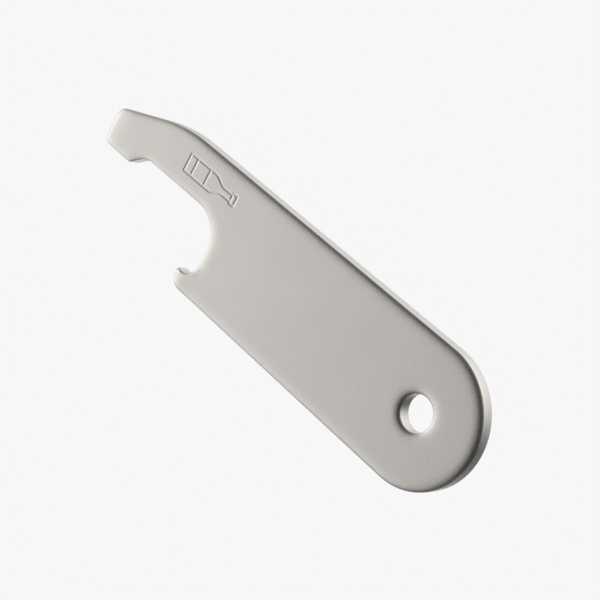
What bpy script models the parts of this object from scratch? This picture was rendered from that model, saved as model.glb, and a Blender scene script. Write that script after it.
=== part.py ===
"""Keychain bottle opener: one blanked plate of stainless steel, 76 mm long.

Every length is in metres. The plate lies flat: its back rests on Z = 0, the marked front
faces +Z, the round end with the post hole points to +X and the straight spine is on the +Y
side. The origin is the middle of the plate's footprint, on the back face.
"""
import math

import bmesh
import bpy
from mathutils import Vector

MM = 0.001

# Blank
BODY_WIDTH = 19.0 * MM           # spine to belly, and the diameter of the round end
THICKNESS = 2.2 * MM
HOLE_TO_TIP = 66.3 * MM          # centre of the post hole to the tip of the arm
HOLE_DIAMETER = 4.8 * MM         # runs on a key organiser's screw post

# Arm: the spine bends down into it, and it ends in a tooth that bears on the cap's top
ARM_SLOPE = math.radians(18.3)   # top of the arm against the spine
ARM_BEND_FROM_TIP = 12.9 * MM    # where spine and arm top would cross
ARM_BEND_RADIUS = 27.5 * MM
ARM_DEPTH = 7.45 * MM            # spine line down to the underside of the arm
TOOTH_DROP = 2.2 * MM            # tooth below the underside of the arm
TOOTH_LENGTH = 6.3 * MM          # flat under the tooth
TOOTH_RAMP = 2.7 * MM            # sloped inner side of the tooth, along the arm
TIP_TOP_RADIUS = 1.9 * MM
TIP_BOTTOM_RADIUS = 1.05 * MM
TOOTH_RADIUS = 0.35 * MM
TOOTH_ROOT_RADIUS = 4.0 * MM

# Notch and hook: the hook's nose catches under the cap's skirt
NOTCH_FROM_TIP = 25.95 * MM      # tip of the arm to the upright wall of the notch
NOTCH_RADIUS = 4.8 * MM
HOOK_HEIGHT = 2.45 * MM          # belly line up to the floor of the throat
HOOK_REACH = 3.3 * MM            # nose beyond the upright wall of the notch
THROAT_RADIUS = 2.0 * MM
NOSE_RADIUS = 0.5 * MM
HEEL_RADIUS = 1.9 * MM

# Edges
FRONT_ROUND = 0.25 * MM          # blanking rolls the front edge over
BACK_BREAK = 0.12 * MM           # tumbling only breaks the back edge
EDGE_SHARE = 0.75
ROUND_STEPS = 3
SMALLEST_ARC_STEPS = 4
ARC_SAGITTA = 0.006 * MM         # how far a facet may cut inside its arc
HOLE_STEPS = 48
MERGE = 0.001 * MM

STEEL_COLOUR = (0.50, 0.48, 0.45, 1.0)
STEEL_ROUGHNESS = 0.38


def clear_scene():
    for item in list(bpy.data.objects):
        bpy.data.objects.remove(item)


def satin_steel():
    material = bpy.data.materials.new("satin_stainless_steel")
    material.use_nodes = True
    shader = material.node_tree.nodes["Principled BSDF"]
    shader.inputs["Base Color"].default_value = STEEL_COLOUR
    shader.inputs["Metallic"].default_value = 1.0
    shader.inputs["Roughness"].default_value = STEEL_ROUGHNESS
    return material


def outline_corners():
    """Sharp corners of the blank, anticlockwise, each with its fillet radius.

    The centre of the post hole is at (0, 0) here.
    """
    spine = BODY_WIDTH / 2
    belly = -spine
    end = spine
    tip = -HOLE_TO_TIP
    bend = tip + ARM_BEND_FROM_TIP
    arm_top_at_tip = spine - ARM_BEND_FROM_TIP * math.tan(ARM_SLOPE)
    underside = spine - ARM_DEPTH
    tooth = underside - TOOTH_DROP
    wall = tip + NOTCH_FROM_TIP
    throat = belly + HOOK_HEIGHT
    nose = wall - HOOK_REACH
    return [
        (end, belly, end),
        (end, spine, end),
        (bend, spine, ARM_BEND_RADIUS),
        (tip, arm_top_at_tip, TIP_TOP_RADIUS),
        (tip, tooth, TIP_BOTTOM_RADIUS),
        (tip + TOOTH_LENGTH, tooth, TOOTH_RADIUS),
        (tip + TOOTH_LENGTH + TOOTH_RAMP, underside, TOOTH_ROOT_RADIUS),
        (wall, underside, NOTCH_RADIUS),
        (wall, throat, THROAT_RADIUS),
        (nose, throat, NOSE_RADIUS),
        (nose, belly, HEEL_RADIUS),
    ]


def limited_radii(points, radii):
    """Fillet radii, cut down together wherever two fillets would not fit on the side they share."""
    count = len(points)
    reach = []
    for index, point in enumerate(points):
        back = points[index - 1] - point
        ahead = points[(index + 1) % count] - point
        reach.append(radii[index] / math.tan(back.angle(ahead) / 2))
    limits = [1.0] * count
    for index in range(count):
        following = (index + 1) % count
        side = (points[following] - points[index]).length
        share = min(1.0, side / (reach[index] + reach[following]))
        limits[index] = min(limits[index], share)
        limits[following] = min(limits[following], share)
    return [radius * limit for radius, limit in zip(radii, limits)]


def fillet(before, corner, after, radius):
    """Arc that rounds a corner: its centre, radius, start angle and turn (minus if concave)."""
    back = (before - corner).normalized()
    ahead = (after - corner).normalized()
    half = back.angle(ahead) / 2
    centre = corner + (back + ahead).normalized() * (radius / math.sin(half))
    start = corner + back * (radius / math.tan(half)) - centre
    turn = math.pi - 2 * half
    if back.x * ahead.y - back.y * ahead.x > 0:
        turn = -turn
    return centre, radius, math.atan2(start.y, start.x), turn


def outline_arcs():
    corners = outline_corners()
    points = [Vector(corner[:2]) for corner in corners]
    radii = limited_radii(points, [corner[2] for corner in corners])
    arcs = []
    for index, radius in enumerate(radii):
        after = points[(index + 1) % len(points)]
        arcs.append(fillet(points[index - 1], points[index], after, radius))
    return arcs


def arc_steps(radius, turn):
    """Facets that keep each chord within ARC_SAGITTA of the arc."""
    facet = 2 * math.acos(1 - ARC_SAGITTA / radius)
    return max(SMALLEST_ARC_STEPS, math.ceil(abs(turn) / facet))


def outline_ring(arcs, inset):
    """Points of the outline moved inwards: convex arcs shrink and concave arcs grow.

    Where one arc runs straight into the next, the point that they share is kept once.
    """
    ring = []
    for centre, radius, start, turn in arcs:
        steps = arc_steps(radius, turn)
        moved = radius - inset if turn > 0 else radius + inset
        for step in range(steps + 1):
            angle = start + turn * step / steps
            ring.append(centre + moved * Vector((math.cos(angle), math.sin(angle))))
    return [point for index, point in enumerate(ring) if (point - ring[index - 1]).length > MERGE]


def hole_ring(inset):
    """Points of the post hole's edge, moved outwards from its centre by the inset."""
    radius = HOLE_DIAMETER / 2 + inset
    turns = [2 * math.pi * step / HOLE_STEPS for step in range(HOLE_STEPS)]
    return [radius * Vector((math.cos(angle), math.sin(angle))) for angle in turns]


def edge_profile(arcs):
    """Inset and height of each ring, from the back face's rim up to the front face's rim.

    Neither edge is rounded by more than EDGE_SHARE of the sharpest outer corner's radius.
    """
    sharpest = min(radius for _, radius, _, turn in arcs if turn > 0)
    back_break = min(BACK_BREAK, EDGE_SHARE * sharpest)
    front_round = min(FRONT_ROUND, EDGE_SHARE * sharpest)
    profile = [(back_break, 0.0), (0.0, back_break)]
    for step in range(ROUND_STEPS + 1):
        angle = math.pi / 2 * step / ROUND_STEPS
        inset = front_round * (1 - math.cos(angle))
        drop = front_round * (1 - math.sin(angle))
        profile.append((inset, THICKNESS - drop))
    return profile


def skin(mesh, rings):
    """Bridges each ring of vertices to the next one and gives back the first and last ring."""
    loops = []
    for points, height in rings:
        loops.append([mesh.verts.new((point.x, point.y, height)) for point in points])
    for lower, upper in zip(loops, loops[1:]):
        count = len(lower)
        for index in range(count):
            following = (index + 1) % count
            mesh.faces.new((lower[index], lower[following], upper[following], upper[index]))
    return loops[0], loops[-1]


def cap(mesh, rims):
    """Fills the flat face between the rims."""
    edges = []
    for rim in rims:
        for index, vertex in enumerate(rim):
            neighbour = rim[(index + 1) % len(rim)]
            edges.append(mesh.edges.get((vertex, neighbour)))
    bmesh.ops.triangle_fill(mesh, edges=edges, use_beauty=True, use_dissolve=False)


def build_plate():
    arcs = outline_arcs()
    profile = edge_profile(arcs)
    low_x = -HOLE_TO_TIP
    high_x = BODY_WIDTH / 2
    mesh = bmesh.new()
    outer_back, outer_front = skin(mesh, [(outline_ring(arcs, inset), z) for inset, z in profile])
    hole_back, hole_front = skin(mesh, [(hole_ring(inset), z) for inset, z in profile])
    cap(mesh, (outer_back, hole_back))
    cap(mesh, (outer_front, hole_front))
    bmesh.ops.recalc_face_normals(mesh, faces=mesh.faces)
    bmesh.ops.translate(mesh, verts=mesh.verts, vec=(-(low_x + high_x) / 2, 0.0, 0.0))

    data = bpy.data.meshes.new("opener_plate")
    mesh.to_mesh(data)
    mesh.free()
    data.materials.append(satin_steel())
    data.shade_smooth()
    data.set_sharp_from_angle(angle=math.radians(35))
    plate = bpy.data.objects.new("opener_plate", data)
    bpy.context.scene.collection.objects.link(plate)
    return plate


clear_scene()
build_plate()
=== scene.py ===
# %% [markdown]
# # A keychain bottle opener in satin stainless steel
#
# The opener is one flat plate. It is blanked out of steel sheet with a punch and a die, tumbled
# until its corners are soft, and blasted with fine glass beads. There is nothing to assemble, so
# all of its character is in the edge: how the front rolls over, how the wall was cut, and how
# the satin face catches light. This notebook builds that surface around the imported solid.

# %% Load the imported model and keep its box
import math

import bmesh
import bpy
import numpy as np
from mathutils import Matrix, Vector
from mathutils.geometry import delaunay_2d_cdt


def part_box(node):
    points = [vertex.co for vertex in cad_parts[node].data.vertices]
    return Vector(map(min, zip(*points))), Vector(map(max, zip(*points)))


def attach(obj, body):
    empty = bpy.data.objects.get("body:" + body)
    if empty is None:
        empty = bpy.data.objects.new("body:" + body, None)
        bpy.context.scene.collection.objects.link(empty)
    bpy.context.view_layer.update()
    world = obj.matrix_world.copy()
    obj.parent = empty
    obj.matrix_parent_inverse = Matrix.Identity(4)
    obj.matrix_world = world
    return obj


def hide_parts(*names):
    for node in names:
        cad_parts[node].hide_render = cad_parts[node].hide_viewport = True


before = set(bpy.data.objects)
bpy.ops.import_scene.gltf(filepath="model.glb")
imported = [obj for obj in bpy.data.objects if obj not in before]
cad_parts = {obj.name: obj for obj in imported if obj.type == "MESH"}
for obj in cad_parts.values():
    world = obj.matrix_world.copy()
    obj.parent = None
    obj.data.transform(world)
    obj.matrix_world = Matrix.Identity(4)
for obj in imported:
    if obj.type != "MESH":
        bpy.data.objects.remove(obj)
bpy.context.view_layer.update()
plate_low, plate_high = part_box("opener_plate")
MM = 0.001
print("packed box in mm:", [round(side / MM, 3) for side in plate_high - plate_low])

# %% [markdown]
# ## The outline
#
# The blank is a polygon with rounded corners: a wide body that ends in a half circle round the
# post hole, and a slim arm that ends in a tooth. Between arm and body lies the notch, and the
# small hook at its foot catches under the cap. A polygon with a fillet on each corner needs only
# a dozen sizes and a radius for each corner, and every point and normal on it then has an exact
# formula. Tracing the solid's edge would give facets instead, and facets show in a satin
# reflection.

# %% Sizes of the blank
BODY_WIDTH = 19.0 * MM
HOLE_TO_TIP = 66.3 * MM
HOLE_RADIUS = 2.4 * MM
ARM_SLOPE = math.radians(18.3)
ARM_BEND_FROM_TIP = 12.9 * MM
ARM_DEPTH = 7.45 * MM
TOOTH_DROP = 2.2 * MM
TOOTH_LENGTH = 6.3 * MM
TOOTH_RAMP = 2.7 * MM
NOTCH_FROM_TIP = 25.95 * MM
HOOK_HEIGHT = 2.45 * MM
HOOK_REACH = 3.3 * MM
ARM_BEND_RADIUS = 27.5 * MM
TIP_TOP_RADIUS, TIP_BOTTOM_RADIUS = 1.9 * MM, 1.05 * MM
TOOTH_RADIUS, TOOTH_ROOT_RADIUS = 0.35 * MM, 4.0 * MM
NOTCH_RADIUS, THROAT_RADIUS = 4.8 * MM, 2.0 * MM
NOSE_RADIUS, HEEL_RADIUS = 0.5 * MM, 1.9 * MM

hole_centre = np.array([plate_high.x - BODY_WIDTH / 2, (plate_low.y + plate_high.y) / 2])
half_width = BODY_WIDTH / 2
tip = -HOLE_TO_TIP
underside = half_width - ARM_DEPTH
wall = tip + NOTCH_FROM_TIP
arm_at_tip = half_width - ARM_BEND_FROM_TIP * math.tan(ARM_SLOPE)

# Corners are measured from the hole's centre, anticlockwise, each with its fillet radius.
tooth_edge = underside - TOOTH_DROP
throat_floor = -half_width + HOOK_HEIGHT
corners = np.array([
    (half_width, -half_width, half_width),
    (half_width, half_width, half_width),
    (tip + ARM_BEND_FROM_TIP, half_width, ARM_BEND_RADIUS),
    (tip, arm_at_tip, TIP_TOP_RADIUS),
    (tip, tooth_edge, TIP_BOTTOM_RADIUS),
    (tip + TOOTH_LENGTH, tooth_edge, TOOTH_RADIUS),
    (tip + TOOTH_LENGTH + TOOTH_RAMP, underside, TOOTH_ROOT_RADIUS),
    (wall, underside, NOTCH_RADIUS),
    (wall, throat_floor, THROAT_RADIUS),
    (wall - HOOK_REACH, throat_floor, NOSE_RADIUS),
    (wall - HOOK_REACH, -half_width, HEEL_RADIUS),
])
print("corners of the blank:", len(corners))

# %% [markdown]
# ## Walking round the blank
#
# The outline has to give more than points. Every ring of the rolled edge and every row of the
# wall is the outline moved in along its normals, so each sample carries its exact normal too. A
# curve with a bevel would make the same shape but wouldn't tell its normals, and sampling by
# spacing keeps the samples even, which keeps the faces even.

# %% Round the corners and walk the outline
def unit(vectors):
    """Each vector over its own length."""
    return vectors / np.linalg.norm(vectors, axis=-1, keepdims=True)


def rounded_outline(corners, spacing, turn_per_step):
    """Points and outward normals round a polygon whose corners carry fillets.

    A fillet of radius r in a corner of half angle h has its centre r / sin(h) along the
    bisector and touches both sides r / tan(h) from the corner. The arc between those two
    points turns by pi - 2h; the straight side to the next fillet follows it.
    """
    places, radii = corners[:, :2], corners[:, 2]
    back = unit(np.roll(places, 1, axis=0) - places)
    ahead = unit(np.roll(places, -1, axis=0) - places)
    half = np.arccos(np.clip((back * ahead).sum(1), -1, 1)) / 2
    centres = places + unit(back + ahead) * (radii / np.sin(half))[:, None]
    starts = places + back * (radii / np.tan(half))[:, None]
    ends = places + ahead * (radii / np.tan(half))[:, None]
    bends_in = back[:, 0] * ahead[:, 1] - back[:, 1] * ahead[:, 0] > 0
    turns = np.where(bends_in, -1, 1) * (math.pi - 2 * half)
    points, normals = [], []
    for index, turn in enumerate(turns):
        first = math.atan2(*(starts[index] - centres[index])[::-1])
        steps = math.ceil(max(abs(turn) * radii[index] / spacing, abs(turn) / turn_per_step))
        angles = first + turn * np.arange(steps) / steps
        spokes = np.stack([np.cos(angles), np.sin(angles)], axis=1)
        points.append(centres[index] + radii[index] * spokes)
        normals.append(spokes * np.sign(turn))
        side = starts[(index + 1) % len(turns)] - ends[index]
        length = np.linalg.norm(side)
        if length < spacing / 4:
            continue
        steps = math.ceil(length / spacing)
        points.append(ends[index] + side * (np.arange(steps) / steps)[:, None])
        normals.append(np.tile([side[1], -side[0]], (steps, 1)) / length)
    return np.concatenate(points) + hole_centre, np.concatenate(normals)


def hole_rim(count):
    """Points round the post hole and the normals that leave the metal, which point to its centre."""
    angles = -2 * math.pi * np.arange(count) / count
    spokes = np.stack([np.cos(angles), np.sin(angles)], axis=1)
    return hole_centre + HOLE_RADIUS * spokes, -spokes


RIM_SPACING = 0.2 * MM
rim_points, rim_normals = rounded_outline(corners, RIM_SPACING, math.radians(9))
hole_points, hole_normals = hole_rim(90)
print("samples:", len(rim_points), "round the blank,", len(hole_points), "round the hole")

# %% [markdown]
# ## How the front rolls over
#
# When the punch comes down it drags the sheet with it before it cuts, so the front face curves
# down to the edge. Sharp outer corners are dragged further than straight edges, and inner
# corners less. A bevel can't do that, because its width is the same everywhere. Blurring the
# shape of the blank can: near a straight edge half of the blur falls on metal, in an outer
# corner less than half, in an inner corner more. So the drop is set by how much metal the blur
# misses, once with a narrow blur for the steep lip and once with a wide one for the long
# shoulder.

# %% The share of metal around a point
def metal_share(points, blur):
    """How much of a Gaussian blur round each point falls on metal, from 0 to 1.

    The blur is turned into a walk round the edge. Seen from the point, a piece of edge at
    distance r spans an angle, and it takes exp(-r^2 / 2 blur^2) of that angle's share of the
    full turn away from the metal.
    """
    missing = np.zeros(len(points))
    for edge in (rounded_outline(corners, 0.1 * MM, math.radians(4))[0], hole_rim(240)[0]):
        for start in range(0, len(points), 2000):
            x, y = np.moveaxis(edge[None] - points[start:start + 2000, None], 2, 0)
            next_x, next_y = np.roll(x, -1, axis=1), np.roll(y, -1, axis=1)
            angle = np.arctan2(x * next_y - y * next_x, x * next_x + y * next_y)
            square = ((x + next_x) ** 2 + (y + next_y) ** 2) / 4
            sharpness = 1 / (2 * blur[start:start + 2000, None] ** 2)
            missing[start:start + 2000] += (np.exp(-square * sharpness) * angle).sum(1)
    return 1 - missing / (2 * math.pi)


middle_of_spine = hole_centre + np.array([-0.4 * HOLE_TO_TIP, half_width])
print("share of metal on the spine's edge:", round(metal_share(middle_of_spine[None], np.array([MM]))[0], 3))

# %% [markdown]
# ## How much it rolls, and where
#
# The lip is steep and narrow, the shoulder low and wide. A slim arm and a tight throat give the
# punch less metal to drag, so both are narrower there, while the open notch has a wide
# shoulder. The tip and the nose of the hook take the most knocks in the tumbler and fall away
# gently. All of it is one height for each point of the front face, so the faces can be laid out
# flat first and lifted afterwards.

# %% Height of the front face
LIP_DROP, LIP_BLUR = 0.11 * MM, 0.20 * MM
SHOULDER_DROP, SHOULDER_BLUR = 0.20 * MM, 0.62 * MM
ARM_ROLL, THROAT_LIP, THROAT_SHOULDER, NOTCH_SHOULDER = 0.74, 0.62, 0.25, 1.4
ARM_ROLL_FROM, ARM_ROLL_TO = -54.0 * MM, -44.0 * MM
THROAT_ROLL_FROM, THROAT_ROLL_TO = 0.9 * MM, 3.2 * MM
TIP_LEAD, TIP_LEAD_DROP = 3.6 * MM, 0.22 * MM
NOSE_LEAD, NOSE_LEAD_DROP = 2.3 * MM, 0.32 * MM
hook_throat = np.array([wall - 1.3 * MM, throat_floor])
notch_middle = np.array([wall - 0.5 * MM, -2.8 * MM])
NOTCH_ROLL_FROM, NOTCH_ROLL_TO = 3.2 * MM, 5.8 * MM
HOOK_STARTS_BELOW, HOOK_BLEND = -half_width / 2, 1.5 * MM


def smooth_step(share):
    """A ramp from 0 to 1 with flat ends, 3 s^2 - 2 s^3."""
    share = np.clip(share, 0, 1)
    return share * share * (3 - 2 * share)


def lead(along, end, length, drop):
    """A gentle fall towards an end at -X: the drop times the square of the way into the lead."""
    return drop * np.clip((end + length - along) / length, 0, 1) ** 2


def front_height(points):
    """Height of the front face: the sheet's thickness less twice the missing metal times each drop.

    The slim arm and the hook's tight throat drag less metal along than the body, so the roll is
    narrower there, and lower by the square root of that. The open notch has the widest shoulder.
    The tip and the hook's nose each have a lead, worn by tumbling.
    """
    along, across = (points - hole_centre).T
    body = smooth_step((along - ARM_ROLL_FROM) / (ARM_ROLL_TO - ARM_ROLL_FROM))
    from_throat = np.hypot(along - hook_throat[0], across - hook_throat[1])
    clear = smooth_step((from_throat - THROAT_ROLL_FROM) / (THROAT_ROLL_TO - THROAT_ROLL_FROM))
    from_notch = np.hypot(along - notch_middle[0], across - notch_middle[1])
    notch = 1 - smooth_step((from_notch - NOTCH_ROLL_FROM) / (NOTCH_ROLL_TO - NOTCH_ROLL_FROM))
    roll = ARM_ROLL + (1 - ARM_ROLL) * body
    lip_roll = roll * (THROAT_LIP + (1 - THROAT_LIP) * clear)
    shoulder_roll = roll * (THROAT_SHOULDER + (1 - THROAT_SHOULDER) * clear)
    shoulder_roll = shoulder_roll * (1 + (NOTCH_SHOULDER - 1) * notch * clear)
    lip = 2 * (1 - metal_share(points, LIP_BLUR * lip_roll)) * LIP_DROP * np.sqrt(lip_roll)
    shoulder = 2 * (1 - metal_share(points, SHOULDER_BLUR * shoulder_roll))
    shoulder *= SHOULDER_DROP * np.sqrt(shoulder_roll)
    on_hook = smooth_step((HOOK_STARTS_BELOW - across) / HOOK_BLEND)
    leads = lead(along, tip, TIP_LEAD, TIP_LEAD_DROP)
    leads += on_hook * lead(along, wall - HOOK_REACH, NOSE_LEAD, NOSE_LEAD_DROP)
    return plate_high.z - lip - shoulder - leads


print("roll at the spine in mm:", round((plate_high.z - front_height(middle_of_spine[None])[0]) / MM, 3))

# %% [markdown]
# ## Joining edge and face
#
# Rings of points follow the edge inwards, close together where the roll is steep. Near a sharp
# corner the deeper rings would cross themselves, so a point is kept only if it really is as far
# from the edge as its ring says. Blender's Delaunay triangulator then joins the rings into even
# triangles. A grid of its own carries the stamped mark.

# %% Rings, gathered and triangulated
SAME_DEPTH, SAME_PLACE = 0.004 * MM, 0.04 * MM
SLIVER = 5e-6 * MM ** 2


def nearest_edge(points):
    """Distance from each point to the closest sample of the blank's or the hole's edge."""
    edge = np.concatenate([rounded_outline(corners, 0.06 * MM, math.radians(3))[0], hole_rim(300)[0]])
    nearest = np.empty(len(points))
    for start in range(0, len(points), 2000):
        gap = points[start:start + 2000, None] - edge[None]
        nearest[start:start + 2000] = np.sqrt((gap ** 2).sum(2).min(1))
    return nearest


def inside_metal(points, edges):
    """True for points on metal: a ray to +X crosses the edges' loops an odd number of times."""
    odd = np.zeros(len(points), bool)
    for start in edges:
        end = np.roll(start, -1, axis=0)
        for first in range(0, len(points), 4000):
            x, y = points[first:first + 4000, :1], points[first:first + 4000, 1:]
            spans = (start[:, 1] > y) != (end[:, 1] > y)
            run = (end[:, 0] - start[:, 0]) / np.where(end[:, 1] == start[:, 1], 1, end[:, 1] - start[:, 1])
            hits = spans & (x < start[:, 0] + (y - start[:, 1]) * run)
            odd[first:first + 4000] ^= hits.sum(1) % 2 == 1
    return odd


def edges_moved_in(inset):
    """The blank's edge and the hole's edge, each moved into the metal along its normals."""
    return [rim_points - rim_normals * inset, hole_points - hole_normals * inset]


def rings_inside(rings):
    """Points at each depth below the edge, thinned to one in so many, less those in crossed rings."""
    kept = []
    for depth_in_mm, step in rings.items():
        depth = depth_in_mm * MM
        ring = np.concatenate([edge[::step] for edge in edges_moved_in(depth)])
        ring = ring[inside_metal(ring, (rim_points, hole_points))]
        kept.append(ring[nearest_edge(ring) > depth - SAME_DEPTH])
    kept = np.concatenate(kept)
    cells = np.unique(np.round(kept / SAME_PLACE), axis=0, return_index=True)[1]
    return kept[np.sort(cells)]


def triangulate(borders, inner):
    """Delaunay triangles over closed border loops and loose inner points, as points and triples."""
    points = np.concatenate([*borders, inner])
    edges, first = [], 0
    for border in borders:
        count = len(border)
        edges += [(first + index, first + (index + 1) % count) for index in range(count)]
        first += count
    scaled = [tuple(place) for place in points / MM]
    made = delaunay_2d_cdt(scaled, edges, [], 0, 1e-6, False)
    flat = np.array([tuple(place) for place in made[0]]) * MM
    triples = np.array(made[2])
    edge, other = flat[triples[:, 1]] - flat[triples[:, 0]], flat[triples[:, 2]] - flat[triples[:, 0]]
    doubled_area = edge[:, 0] * other[:, 1] - edge[:, 1] * other[:, 0]
    on_metal = inside_metal(flat[triples].mean(1), borders) & (doubled_area > SLIVER)
    return flat, triples[on_metal]


print("hole centre to its nearest edge in mm:", round(nearest_edge(hole_centre[None])[0] / MM, 3))


# %% [markdown]
# ## The stamped mark
#
# Near the spine the arm carries a small stamped mark. Here it is a plain picture of a bottle
# lying on its side, drawn with one line of even width: a pictogram that says what the tool is
# for. The punch leaves a shallow groove with rounded walls, so the depth follows a smooth step of
# the distance to the line.

# %% Depth of the mark
MARK_CENTRE = hole_centre + np.array([-44.9, 5.7]) * MM
MARK_HALF_SIZE = np.array([5.9, 1.9]) * MM
MARK_DEPTH = 0.055 * MM
MARK_LINE = 0.26 * MM
MARK_EDGE = 0.20 * MM
BOTTLE_FOOT, BOTTLE_SHOULDER, BOTTLE_NECK, BOTTLE_MOUTH = -5.2 * MM, 0.2 * MM, 2.6 * MM, 4.4 * MM
BOTTLE_HALF, NECK_HALF, CAP_HALF, CAP_LENGTH = 1.30 * MM, 0.48 * MM, 0.72 * MM, 0.85 * MM
LABEL_ENDS = (-3.7 * MM, -0.9 * MM)


def bottle_lines():
    """The pictogram's lines: the bottle's outline, its cap, and the ends of its label.

    Along the bottle the half width is neck + (bottle - neck) * (1 - step), where the step runs from
    0 at the shoulder to 1 at the neck.
    """
    along = np.linspace(BOTTLE_FOOT, BOTTLE_MOUTH, 33)
    step = smooth_step((along - BOTTLE_SHOULDER) / (BOTTLE_NECK - BOTTLE_SHOULDER))
    half = NECK_HALF + (BOTTLE_HALF - NECK_HALF) * (1 - step)
    side = np.column_stack([along, half])
    outline = np.concatenate([side[::-1], side * (1, -1)])
    cap_end = BOTTLE_MOUTH + CAP_LENGTH
    cap = np.array([
        (BOTTLE_MOUTH, CAP_HALF), (cap_end, CAP_HALF), (cap_end, -CAP_HALF),
        (BOTTLE_MOUTH, -CAP_HALF), (BOTTLE_MOUTH, CAP_HALF),
    ])
    label = [np.array([(place, BOTTLE_HALF), (place, -BOTTLE_HALF)]) for place in LABEL_ENDS]
    return [outline, cap, *label]


def mark_depth(points):
    """Depth of the stamped line: full on the line, none past its half width, a smooth step between."""
    local = points - MARK_CENTRE
    nearest = np.full(len(points), BODY_WIDTH)
    for line in bottle_lines():
        for start, end in zip(line[:-1], line[1:]):
            run = end - start
            share = np.clip(((local - start) @ run) / (run @ run), 0, 1)
            nearest = np.minimum(nearest, np.linalg.norm(local - start - share[:, None] * run, axis=1))
    return MARK_DEPTH * (1 - smooth_step((nearest - MARK_LINE + MARK_EDGE) / MARK_EDGE))


def mark_grid(spacing):
    """A close square grid over the mark, for its groove."""
    sides = [np.arange(-half, half, spacing) for half in MARK_HALF_SIZE]
    return np.stack(np.meshgrid(*sides), axis=2).reshape(-1, 2) + MARK_CENTRE


deepest = mark_depth(mark_grid(0.2 * MM)).max()
print("mark:", len(bottle_lines()), "lines, at most", round(deepest / MM, 3), "mm deep")


# %% [markdown]
# ## The wall
#
# The wall of a blanked plate has three parts. Under the rolled edge the punch has burnished a
# smooth band, below that the steel broke away and left a duller band that leans in by a hair,
# and tumbling has rounded off the burr at the back. The wall is one profile carried round the
# outline: each row is the outline moved in by some inset at some height.

# %% The wall's profile carried round the edge
LIP_ANGLE = math.radians(34)
CORNER_RADIUS = 0.07 * MM
BACK_RADIUS = 0.2 * MM
BREAK_LEAN = 0.03 * MM
BURNISHED_SHARE = 0.42
front_inset = CORNER_RADIUS * (1 - math.sin(LIP_ANGLE))
back_inset = BREAK_LEAN + BACK_RADIUS


def wall_rows(points, normals):
    """Rows of the wall from the front corner to the back face, as an array of rows by points by XYZ.

    The front corner is an arc that starts with the lip's slope and ends upright; the two bands
    are straight; the back corner is a quarter circle.
    """
    rim_height = front_height(points - normals * front_inset)
    rows = []
    for angle in np.linspace(LIP_ANGLE, math.pi / 2, 5):
        inset = front_inset - CORNER_RADIUS * (math.sin(angle) - math.sin(LIP_ANGLE))
        drop = CORNER_RADIUS * (math.cos(LIP_ANGLE) - math.cos(angle))
        rows.append((np.full(len(points), inset), rim_height - drop))
    upright = rows[-1][1]
    for share in np.linspace(0, 1, 6)[1:]:
        broken = max(0.0, share - BURNISHED_SHARE) / (1 - BURNISHED_SHARE)
        rows.append((np.full(len(points), BREAK_LEAN * broken), upright + (BACK_RADIUS - upright) * share))
    for angle in np.linspace(0, math.pi / 2, 6)[1:]:
        inset = BREAK_LEAN + BACK_RADIUS * (1 - math.cos(angle))
        rows.append((np.full(len(points), inset), np.full(len(points), BACK_RADIUS * (1 - math.sin(angle)))))
    placed = [np.column_stack([points - normals * inset[:, None], height]) for inset, height in rows]
    return np.array(placed)


def wall_faces(rows, count, first):
    """Quads between neighbouring rows of a closed strip whose points start at a given number."""
    row, column = np.meshgrid(np.arange(rows - 1), np.arange(count), indexing="ij")
    following = (column + 1) % count
    upper, lower = first + row * count, first + (row + 1) * count
    corners_of_face = [upper + column, lower + column, lower + following, upper + following]
    return np.stack(corners_of_face, axis=2).reshape(-1, 4)


print("rows of the wall:", len(wall_rows(rim_points[:1], rim_normals[:1])))

# %% [markdown]
# ## One closed skin
#
# The front, the wall round the blank, the wall of the hole and the back are made apart and share
# their border points. Merging those points and turning all normals outwards makes one closed
# skin, which shades as one piece of metal.

# %% Front cap and back cap
# Depth of each ring below the edge in mm, and the step that thins its samples.
front_rings = {
    0.1: 1, 0.17: 1, 0.25: 1, 0.34: 1, 0.45: 1, 0.58: 1,
    0.74: 1, 0.94: 2, 1.2: 2, 1.5: 3, 1.9: 4, 2.4: 6,
}
back_rings = {0.5: 1, 1.2: 3, 2.6: 8}
MARK_SPACING = 0.06 * MM


def front_cap():
    """The front face: rings round the edges and a fine grid on the mark, lifted to their height."""
    inner = rings_inside(front_rings)
    outside_mark = (np.abs(inner - MARK_CENTRE) > MARK_HALF_SIZE).any(1)
    inner = np.concatenate([inner[outside_mark], mark_grid(MARK_SPACING)])
    flat, triples = triangulate(edges_moved_in(front_inset), inner)
    return np.column_stack([flat, front_height(flat) - mark_depth(flat)]), triples


def back_cap():
    """The back face, flat at zero height, with its triangles turned to face down."""
    flat, triples = triangulate(edges_moved_in(back_inset), rings_inside(back_rings))
    return np.column_stack([flat, np.zeros(len(flat))]), triples[:, ::-1]


front, front_triples = front_cap()
back, back_triples = back_cap()
print("front face:", len(front), "points,", len(front_triples), "triangles; back face:", len(back), "points")

# %% Build the plate
MERGE_WITHIN = 0.002 * MM


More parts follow.
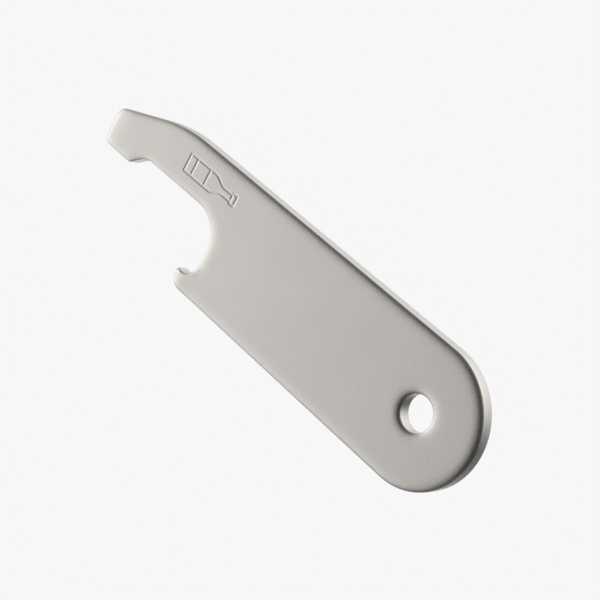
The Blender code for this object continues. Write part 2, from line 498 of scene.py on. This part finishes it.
def build_plate():
    """Front, back, wall round the blank and wall of the hole, merged into one closed skin."""
    walls = [wall_rows(rim_points, rim_normals), wall_rows(hole_points, hole_normals)]
    points = np.concatenate([front, back, *[rows.reshape(-1, 3) for rows in walls]])
    faces = front_triples.tolist() + (back_triples + len(front)).tolist()
    first = len(front) + len(back)
    for rows in walls:
        faces += wall_faces(rows.shape[0], rows.shape[1], first).tolist()
        first += rows.shape[0] * rows.shape[1]

    mesh = bpy.data.meshes.new("satin_plate")
    mesh.from_pydata(points.tolist(), [], faces)
    joined = bmesh.new()
    joined.from_mesh(mesh)
    bmesh.ops.remove_doubles(joined, verts=joined.verts, dist=MERGE_WITHIN)
    bmesh.ops.recalc_face_normals(joined, faces=joined.faces)
    open_edges = sum(not edge.is_manifold for edge in joined.edges)
    joined.to_mesh(mesh)
    joined.free()
    mesh.shade_smooth()
    plate = bpy.data.objects.new("satin_plate", mesh)
    bpy.context.scene.collection.objects.link(plate)
    print("plate:", len(mesh.vertices), "points,", len(mesh.polygons), "faces,", open_edges, "open edges")
    return plate


plate = build_plate()
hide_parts("opener_plate")
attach(plate, "root")


# %% [markdown]
# ## The finish
#
# The whole plate is one metal in one finish: stainless steel blasted with fine glass beads after
# tumbling. Each bead leaves a dimple a few hundredths of a millimetre wide, and together they
# spread a reflection without giving it a direction, as brushing would. Dimples that small can't
# be drawn, so most of the effect is the roughness, and the grain that shows is drawn about six
# times as coarse as it is. The tint is an even grey that leans a little warm, as stainless steel
# does. A metal keeps the default IOR, because its base colour already sets its reflection.
#
# Blasting reaches the wall at a slant, so what the punch left there still shows a little: fine
# upright streaks on the burnished band under the front edge, and a coarser crumble on the
# band that broke away below it, with a ragged line between the two.

# %% Helpers for colours and nodes
def steel_colour(hex_code):
    """sRGB hex to linear RGBA."""
    channels = np.array([int(hex_code[index:index + 2], 16) for index in (1, 3, 5)]) / 255
    linear = np.where(channels <= 0.04045, channels / 12.92, ((channels + 0.055) / 1.055) ** 2.4)
    return (*linear, 1.0)


def add_node(tree, kind, sockets=None, **settings):
    """Adds a node with its settings, and gives each named socket a value or another node's output."""
    node = tree.nodes.new(kind)
    for name, value in settings.items():
        setattr(node, name, value)
    for name, value in (sockets or {}).items():
        if isinstance(value, bpy.types.NodeSocket):
            tree.links.new(value, node.inputs[name])
        else:
            node.inputs[name].default_value = value
    return node


STEEL_TINTS = ("#C3C0BB", "#D1CEC9")
for tint in STEEL_TINTS:
    print("steel tint", tint, "in linear values:", [round(value, 3) for value in steel_colour(tint)[:3]])

# %% Bead-blasted stainless steel
GRAIN_HEIGHT = 0.0115 * MM
BREAK_LINE, BREAK_WANDER, BREAK_BLUR = 1.15 * MM, 0.35 * MM, 0.06 * MM
# Size of each pattern's features, how far they are stretched along Z, and their detail.
steel_patterns = {
    "dimples": (0.22 * MM, 1, 2),
    "clouds": (5.0 * MM, 1, 2),
    "streaks": (0.16 * MM, 12.5, 2),
    "crumble": (0.20 * MM, 1, 3),
    "wander": (0.70 * MM, 1, 2),
}


def bead_blasted_steel():
    """Satin on the faces, and a trace of the punch's two bands on the wall."""
    steel = bpy.data.materials.new("bead_blasted_stainless_steel")
    steel.use_nodes = True
    tree = steel.node_tree
    place = add_node(tree, "ShaderNodeTexCoord")
    patterns = {}
    for name, (size, stretch, detail) in steel_patterns.items():
        scale = (1 / size, 1 / size, 1 / size / stretch)
        scaled = add_node(tree, "ShaderNodeMapping", {"Vector": place.outputs["Object"], "Scale": scale})
        noise = {"Vector": scaled.outputs[0], "Scale": 1, "Detail": detail}
        patterns[name] = add_node(tree, "ShaderNodeTexNoise", noise).outputs[0]

    # The wall is where the surface faces sideways. The break line wanders up and down along it.
    facing = add_node(tree, "ShaderNodeSeparateXYZ", {0: place.outputs["Normal"]}).outputs["Z"]
    facing = add_node(tree, "ShaderNodeMath", {0: facing}, operation="ABSOLUTE").outputs[0]
    height = add_node(tree, "ShaderNodeSeparateXYZ", {0: place.outputs["Object"]}).outputs["Z"]
    soft_ramps = {
        "wall": (facing, 0.25, 0.7, 1, 0),
        "wander": (patterns["wander"], 0.3, 0.7, -BREAK_WANDER / 2, BREAK_WANDER / 2),
        "burnished": (None, BREAK_LINE - BREAK_BLUR, BREAK_LINE + BREAK_BLUR, 0, 1),
        "face roughness": (patterns["clouds"], 0.3, 0.7, 0.37, 0.39),
        "wall roughness": (None, 0, 1, 0.42, 0.36),
    }
    ramped = {}
    for name, (value, *ends) in soft_ramps.items():
        if name == "burnished":
            above_line = {0: height, 1: ramped["wander"]}
            value = add_node(tree, "ShaderNodeMath", above_line, operation="ADD").outputs[0]
        if name == "wall roughness":
            value = ramped["burnished"]
        sockets = dict(zip(("Value", "From Min", "From Max", "To Min", "To Max"), (value, *ends)))
        ramp = add_node(tree, "ShaderNodeMapRange", sockets, interpolation_type="SMOOTHSTEP")
        ramped[name] = ramp.outputs["Result"]

    wall_relief = {0: ramped["burnished"], 2: patterns["crumble"], 3: patterns["streaks"]}
    wall_relief = add_node(tree, "ShaderNodeMix", wall_relief).outputs[0]
    relief = {0: ramped["wall"], 2: patterns["dimples"], 3: wall_relief}
    relief = add_node(tree, "ShaderNodeMix", relief).outputs[0]
    bump = add_node(tree, "ShaderNodeBump", {"Height": relief, "Distance": GRAIN_HEIGHT})
    roughness = {0: ramped["wall"], 2: ramped["face roughness"], 3: ramped["wall roughness"]}
    roughness = add_node(tree, "ShaderNodeMix", roughness).outputs[0]
    tint = add_node(tree, "ShaderNodeValToRGB", {"Fac": patterns["dimples"]})
    darker, paler = tint.color_ramp.elements
    darker.position, darker.color = 0.3, steel_colour(STEEL_TINTS[0])
    paler.position, paler.color = 0.7, steel_colour(STEEL_TINTS[1])

    shader = tree.nodes["Principled BSDF"]
    shader.inputs["Metallic"].default_value = 1
    tree.links.new(tint.outputs["Color"], shader.inputs["Base Color"])
    tree.links.new(roughness, shader.inputs["Roughness"])
    tree.links.new(bump.outputs[0], shader.inputs["Normal"])
    return steel


plate.data.materials.append(bead_blasted_steel())
print("finish:", plate.active_material.name, "with", len(plate.active_material.node_tree.nodes), "nodes")

# %% [markdown]
# ## The stage
#
# The opener lies flat and seems to float on an even, very pale grey. A floor close below would
# catch a shadow that a lit sweep doesn't show, so the floor is far below and glows by itself. It is
# hidden from reflections: the tent of lights alone decides what the steel mirrors.

# %% Pale floor
PALE_GREY = "#F7F7F7"


def pale_sweep(half_size, height):
    """A square floor that glows evenly and neither lights the steel nor shows in it."""
    mesh = bpy.data.meshes.new("pale_floor")
    sides = ((-1, -1), (1, -1), (1, 1), (-1, 1))
    mesh.from_pydata([(x * half_size, y * half_size, height) for x, y in sides], [], [(0, 1, 2, 3)])
    floor = bpy.data.objects.new("pale_floor", mesh)
    bpy.context.scene.collection.objects.link(floor)
    paper = bpy.data.materials.new("pale_paper")
    paper.use_nodes = True
    tree = paper.node_tree
    tree.nodes.clear()
    glow = add_node(tree, "ShaderNodeEmission", {"Color": steel_colour(PALE_GREY)})
    add_node(tree, "ShaderNodeOutputMaterial", {"Surface": glow.outputs["Emission"]})
    mesh.materials.append(paper)
    floor.visible_glossy = False
    floor.visible_diffuse = False
    floor.visible_shadow = False
    return floor


floor = pale_sweep(4.0, -0.3)
print("floor in m:", list(floor.dimensions), "at", round(floor.data.vertices[0].co.z, 3))

# %% [markdown]
# ## The light
#
# Small shiny products are shot inside a white fabric tent with soft lamps outside it. Where a
# lamp is near, the fabric glows in a round patch with a soft border, and the rest stays dim. That
# is what satin steel reflects, so the world is exactly that: a dim tent plus a few patches, each
# bright out to an inner angle from its middle and faded to nothing at an outer angle. A sky or
# area lamps would leave hard borders in the steel.
#
# Most of the patches' numbers weren't chosen by hand. A least-squares fit done outside this
# script found them for the one view below, and some were adjusted afterwards. So they aren't a
# lighting design: from most other sides the steel looks much darker, and from a few brighter.

# %% Light tent
# Azimuth and elevation of each patch, the angles where it starts and ends to fade, its brightness.
tent_patches = {
    "key, beyond the tip": (-146.5, 31.6, 6.4, 46.8, 1.18),
    "hot middle of the key": (-166, 13, 4, 28, 0.56),
    "bounce from under the spine": (78.5, -23.5, 14.5, 74.1, 1.15),
    "bounce from under the tip": (155.9, -43.6, 29.0, 96.7, 0.38),
    "bounce from under the belly": (-137, -53, 8, 29, 0.9),
    "glow low beyond the tip": (174.7, -15.8, 11.8, 67.4, 0.39),
    "fill along the belly": (-96.8, -17.6, 12.8, 78.3, 0.20),
    "fill along the spine": (52.3, 8.4, 16.4, 55.8, 0.66),
    "fill beyond the round end": (-45, 12, 3, 27, 0.28),
}
TENT_DIMNESS = 0.03


def light_tent():
    """A world that lights with the tent and looks like the floor where the camera sees it.

    Each patch is a smooth step of the cosine between a direction and the patch's middle, and the
    tent is their sum on top of its dimness.
    """
    world = bpy.data.worlds.new("light_tent")
    world.use_nodes = True
    tree = world.node_tree
    tree.nodes.clear()
    direction = add_node(tree, "ShaderNodeTexCoord").outputs["Generated"]
    total = TENT_DIMNESS
    for azimuth, elevation, inner, outer, brightness in tent_patches.values():
        around, up = math.radians(azimuth), math.radians(elevation)
        middle = (math.cos(up) * math.cos(around), math.cos(up) * math.sin(around), math.sin(up))
        closeness = add_node(tree, "ShaderNodeVectorMath", {0: direction, 1: middle}, operation="DOT_PRODUCT")
        patch = add_node(tree, "ShaderNodeMapRange", {
            "Value": closeness.outputs["Value"],
            "From Min": math.cos(math.radians(outer)),
            "From Max": math.cos(math.radians(inner)),
            "To Max": brightness,
        }, interpolation_type="SMOOTHSTEP")
        sum_so_far = {0: patch.outputs["Result"], 1: total}
        total = add_node(tree, "ShaderNodeMath", sum_so_far, operation="ADD").outputs[0]
    tent = add_node(tree, "ShaderNodeBackground", {"Strength": total, "Color": (1, 1, 1, 1)})
    seen = add_node(tree, "ShaderNodeBackground", {"Color": steel_colour(PALE_GREY)})
    looking = add_node(tree, "ShaderNodeLightPath").outputs["Is Camera Ray"]
    mixed = add_node(tree, "ShaderNodeMixShader", {0: looking, 1: tent.outputs[0], 2: seen.outputs[0]})
    add_node(tree, "ShaderNodeOutputWorld", {"Surface": mixed.outputs[0]})
    bpy.context.scene.world = world
    print("tent:", len(tent_patches), "soft patches")


light_tent()

# %% [markdown]
# ## The camera
#
# The view is from the round end, over the spine and steeply from above, through a lens long
# enough to keep the sides nearly parallel. The lens, the two directions and the place were solved
# outside this script from shapes whose form is known: the round hole, the round end that shares
# its centre, and the straight sides.

# %% Camera
LENS = 95.72
toward_right = np.array([0.6352, 0.4636, -0.6177])
toward_bottom = np.array([0.5559, -0.8297, -0.0511])
camera_place = np.array([*hole_centre, plate_high.z - 0.25 * MM]) + np.array([86.76, 64.78, 160.63]) * MM


def place_camera():
    """A camera whose axes are right, up and back, made square to each other to the last digit."""
    right = unit(toward_right)
    back = unit(np.cross(right, -toward_bottom))
    turned = Matrix(np.stack([right, np.cross(back, right), back], axis=1).tolist()).to_4x4()
    lens = bpy.data.cameras.new("camera")
    lens.sensor_width = 36
    lens.lens = LENS
    camera = bpy.data.objects.new("camera", lens)
    camera.matrix_world = Matrix.Translation(camera_place) @ turned
    bpy.context.scene.collection.objects.link(camera)
    bpy.context.scene.camera = camera
    return camera


camera = place_camera()
bpy.context.scene.view_settings.view_transform = "Standard"
print("camera to hole in mm:", round(float(np.linalg.norm(camera_place[:2] - hole_centre)) / MM, 1), "across")
